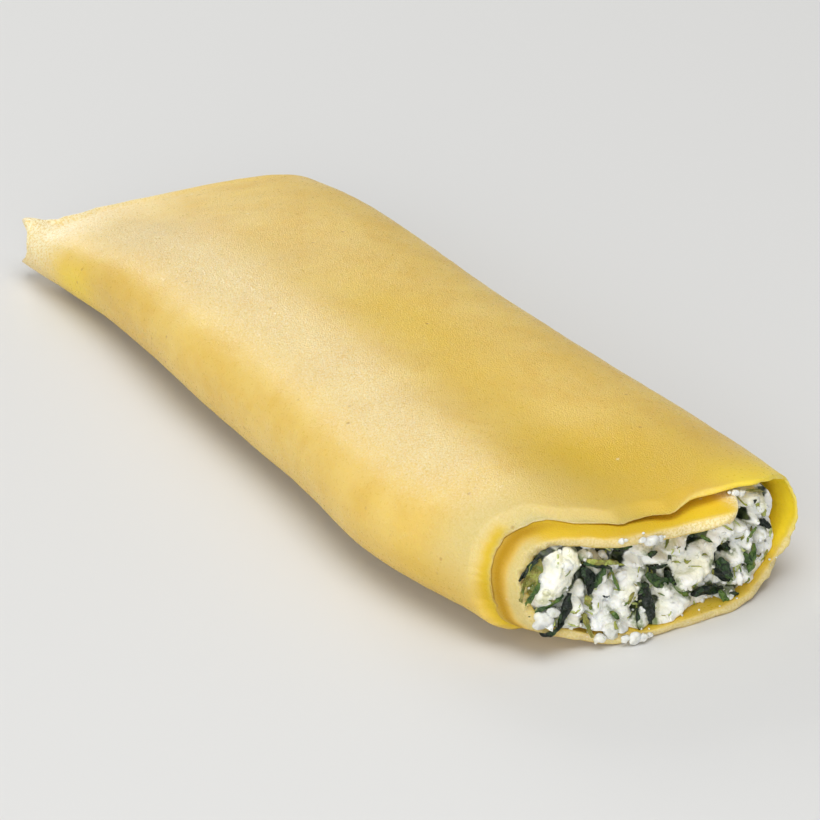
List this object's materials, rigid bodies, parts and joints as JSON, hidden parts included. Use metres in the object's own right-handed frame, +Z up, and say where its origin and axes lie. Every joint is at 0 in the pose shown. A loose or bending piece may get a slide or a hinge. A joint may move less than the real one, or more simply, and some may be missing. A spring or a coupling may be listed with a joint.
{
  "type": "cannelloni",
  "caption": "Fresh egg pasta sheet rolled round a ricotta and spinach filling, open and uneven at one end, pinched to a flat tip at the other.",
  "frame": {"origin": "on the surface the roll lies on, under the middle of its box", "axes": "+X along the roll towards its open filled end, +Y towards its right side seen from that end, +Z up"},
  "size_m": [0.1302, 0.0466, 0.0168],
  "materials": {
    "egg_pasta": "smooth pale golden egg pasta with a soft satin gloss and a mottled, slightly floury surface",
    "ricotta_spinach": "moist creamy white curd with dark green chopped leaf"
  },
  "bodies": {
    "root": {"pasta_sheet": "egg_pasta", "filling": "ricotta_spinach"}
  },
  "joints": []
}
